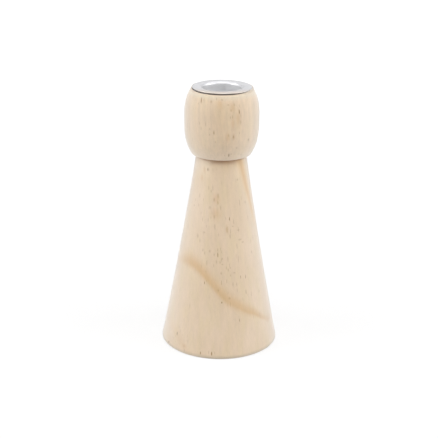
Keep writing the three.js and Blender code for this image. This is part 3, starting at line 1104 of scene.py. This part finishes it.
# %% Press the cup
CUP_TOP, CUP_FOOT = cup_box[1].z, cup_box[0].z
CUP_FLANGE_RADIUS = cup_box[1].x
CUP_SHEET = 0.6 * MM
CUP_SLEEVE_RADIUS = 11.2 * MM  # inside
CUP_MOUTH_ROUND = 1.3 * MM
CUP_FLOOR_ROUND = 2.0 * MM
FLANGE_RIPPLE = 0.03 * MM
FLANGE_RIPPLE_SCALE = 9 * MM


def arc(centre, radius, start_degrees, end_degrees, steps):
    """Outline points of an arc. Degrees run from outwards, 0, to upwards, 90."""
    points = []
    for step in range(steps + 1):
        angle = math.radians(start_degrees + (end_degrees - start_degrees) * step / steps)
        points.append((centre[0] + radius * math.cos(angle), centre[1] + radius * math.sin(angle), 0))
    return points


def sheet_face(set_back):
    """The sheet's inner face from the axis to the lip, or its outer face when set back."""
    mouth_centre = (CUP_SLEEVE_RADIUS + CUP_MOUTH_ROUND, CUP_TOP - CUP_MOUTH_ROUND)
    floor_centre = (CUP_SLEEVE_RADIUS - CUP_FLOOR_ROUND, CUP_FOOT + CUP_SHEET + CUP_FLOOR_ROUND)
    floor = CUP_FOOT + CUP_SHEET - set_back
    wall = CUP_SLEEVE_RADIUS + set_back
    flange = CUP_TOP - set_back
    floor_arc = arc(floor_centre, CUP_FLOOR_ROUND + set_back, -90, 0, 10)
    mouth_arc = arc(mouth_centre, CUP_MOUTH_ROUND - set_back, 180, 90, 14)
    return [
        (0, floor, 0),
        *straight((floor_centre[0] / 6, floor), (floor_centre[0], floor), 6),
        *floor_arc,
        *straight((wall, floor_centre[1]), (wall, mouth_centre[1]), 16)[1:],
        *mouth_arc,
        *straight((mouth_centre[0], flange), (CUP_FLANGE_RADIUS - CUP_SHEET / 2, flange), 8)[1:],
    ]


lip = arc((CUP_FLANGE_RADIUS - CUP_SHEET / 2, CUP_TOP - CUP_SHEET / 2), CUP_SHEET / 2, -90, 90, 8)
cup_outline = [*sheet_face(CUP_SHEET), *lip, *sheet_face(0)[::-1]]


def rippled(place, wear):
    """Pressed sheet is never quite flat. The two faces of the flange move together, so it stays even."""
    ripple = 0.5 + 0.5 * noise.noise(Vector((place.x, place.y, 0)) / FLANGE_RIPPLE_SCALE)
    upper_face = place.z > CUP_TOP - CUP_SHEET / 2
    on_flange = place.z > CUP_TOP - CUP_SHEET * 1.01  # a little lower than its underside
    mouth = CUP_SLEEVE_RADIUS + CUP_MOUTH_ROUND
    outwards = (math.hypot(place.x, place.y) - mouth) / (CUP_FLANGE_RADIUS - mouth)
    share = min(max(outwards * 2, 0), 1)
    return FLANGE_RIPPLE * ripple * share * (1 if upper_face else -1) if on_flange else 0


cup = turn("pressed_cup", cup_outline, rippled, aluminium)
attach(cup, "cup")
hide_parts("candle_cup")

# %% [markdown]
# ## The dowel
#
# A fluted beech pin joins the two turned pieces. Nothing of it shows, and its solid in the frame
# already has its flutes and chamfers, so it stays as it is and only gets a finish. Beech has no
# bold rings: it is pinkish brown, with short dark flecks.

# %% Finish the dowel
BEECH = paint("d1ab82")
BEECH_FLECK = paint("9c7049")


def raw_beech():
    wood = new_material("raw_beech")
    place = in_mm(wood)
    flecks = patches(place, across=0.3, along=2.5, seed=8.0, low=0.58, high=0.72)
    fibres = cloud(place, across=0.2, along=9, seed=4.0)
    colour = tinted(BEECH, BEECH_FLECK, flecks, strength=0.6)
    sockets = {
        "Base Color": shaded(colour, 1 + (fibres - 0.5) * 0.25),
        "Roughness": 0.75 - flecks * 0.1,
        "Normal": bumps(fibres * 0.02 - flecks * 0.02),
    }
    return end_in_principled(wood, sockets)


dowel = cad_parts["joining_dowel"]
dowel.data.materials.clear()
dowel.data.materials.append(raw_beech())

# %% [markdown]
# ## The table and the white surroundings
#
# The candlestick stands in a white sweep, as in a light tent, and the picture around it is pure
# white. Turning the lamps up until the floor clips would bleach the wood as well. So the floor shows
# the camera mostly its own white, with a share of real light on top that keeps a faint shadow, and
# it is an ordinary pale floor to the light that bounces up from it. Its own white is a little weaker
# near the candlestick, because a shadow that stays above full white is lost. The world is plain
# white to the camera, and to the light it glows only overhead.

# %% Lay the floor and set the world
FLOOR_SIZE = 4.0
FLOOR_ALBEDO = 0.77  # how much light the floor throws back at the candlestick
FLOOR_SHADOW_SHARE = 0.22  # how much real light is seen on it
GLOW_NEAR, GLOW_FAR = 0.75, 1.0  # the floor's own white beside the candlestick and far away
GLOW_REACH = 1.3
CEILING_LIGHT = 0.6  # how bright the surroundings are to the light, straight above
OVERHEAD = (0.2, 1.0)  # how far a direction points up, where they start to glow and glow fully


def what_is_seen(finish):
    """1 for a ray that shows the surface itself, straight or in a reflection, and 0 for light."""
    path = finish.node("LightPath", output="Is Camera Ray")
    return path + path.other("Is Glossy Ray") + path.other("Is Transmission Ray")


def white_floor():
    paper = new_material("white_floor")
    lit = paper.node("BsdfDiffuse", {}, {"Color": grey(FLOOR_ALBEDO)})
    far = step_up(axis_distance(paper.node("TexCoord", output="Object")), 0.0, GLOW_REACH)
    own_white = blend_colours(far, grey(GLOW_NEAR), grey(GLOW_FAR))
    glow = paper.node("Emission", {}, {"Color": own_white, "Strength": 1.0})
    shade = paper.node("BsdfDiffuse", {}, {"Color": grey(FLOOR_SHADOW_SHARE)})
    shown = paper.node("AddShader", {}, {0: glow, 1: shade})
    surface = paper.node("MixShader", {}, {0: what_is_seen(paper), 1: lit, 2: shown})
    paper.node("OutputMaterial", {}, {"Surface": surface})
    print("the floor's own white is", GLOW_NEAR, "beside the candlestick and", GLOW_FAR, "far away")
    return paper.owner


def white_world():
    world = bpy.data.worlds.new("white_surroundings")
    bpy.context.scene.world = world
    sky = Finish(world)
    upwards = part_of(sky.node("TexCoord", output="Generated"), "Z")
    overhead = blend_colours(step_up(upwards, *OVERHEAD), grey(0.0), grey(CEILING_LIGHT))
    lit = sky.node("Background", {}, {"Color": overhead, "Strength": 1.0})
    shown = sky.node("Background", {}, {"Color": grey(1.0), "Strength": 1.0})
    surface = sky.node("MixShader", {}, {0: what_is_seen(sky), 1: lit, 2: shown})
    sky.node("OutputWorld", {}, {"Surface": surface})


floor_mesh = bpy.data.meshes.new("floor")
half = FLOOR_SIZE / 2
corners = [(-half, -half, 0), (half, -half, 0), (half, half, 0), (-half, half, 0)]
floor_mesh.from_pydata(corners, [], [(0, 1, 2, 3)])
floor_mesh.materials.append(white_floor())
floor = bpy.data.objects.new("floor", floor_mesh)
bpy.context.scene.collection.objects.link(floor)
white_world()

# %% [markdown]
# ## The lamps
#
# Large soft panels stand left and right and a little in front. One more is high in front, and a
# weaker one is high behind. Light from both sides makes the flanks of a round form brighter than
# its middle, which is how a light tent looks. The high panels light the cup and put the shade under
# the head. Panels this large leave no hard edge.

# %% Hang the lamps
PANEL_SIDE = 0.8


def softbox(name, place, power):
    """A square lamp at a place, facing the candlestick."""
    lamp = bpy.data.objects.new(name, bpy.data.lights.new(name, "AREA"))
    lamp.data.shape = "SQUARE"
    lamp.data.size = PANEL_SIDE
    lamp.data.energy = power
    lamp.location = place
    lamp.rotation_mode = "QUATERNION"
    middle = Vector((0, 0, AIM_HEIGHT))
    lamp.rotation_quaternion = (middle - lamp.location).to_track_quat("-Z", "Y")
    bpy.context.scene.collection.objects.link(lamp)
    distance = (middle - lamp.location).length
    level = power / (math.pi * distance) ** 2
    print(name, "makes white at the candlestick about", round(level, 2), "bright")


softbox("left_panel", (-0.9, -0.2, 0.6), power=6.1)
softbox("right_panel", (0.9, -0.2, 0.6), power=6.1)
softbox("front_panel", (0, -0.55, 1.05), power=4.5)
softbox("back_panel", (0, 0.5, 1.1), power=2.6)

bpy.context.scene.view_settings.view_transform = "Standard"
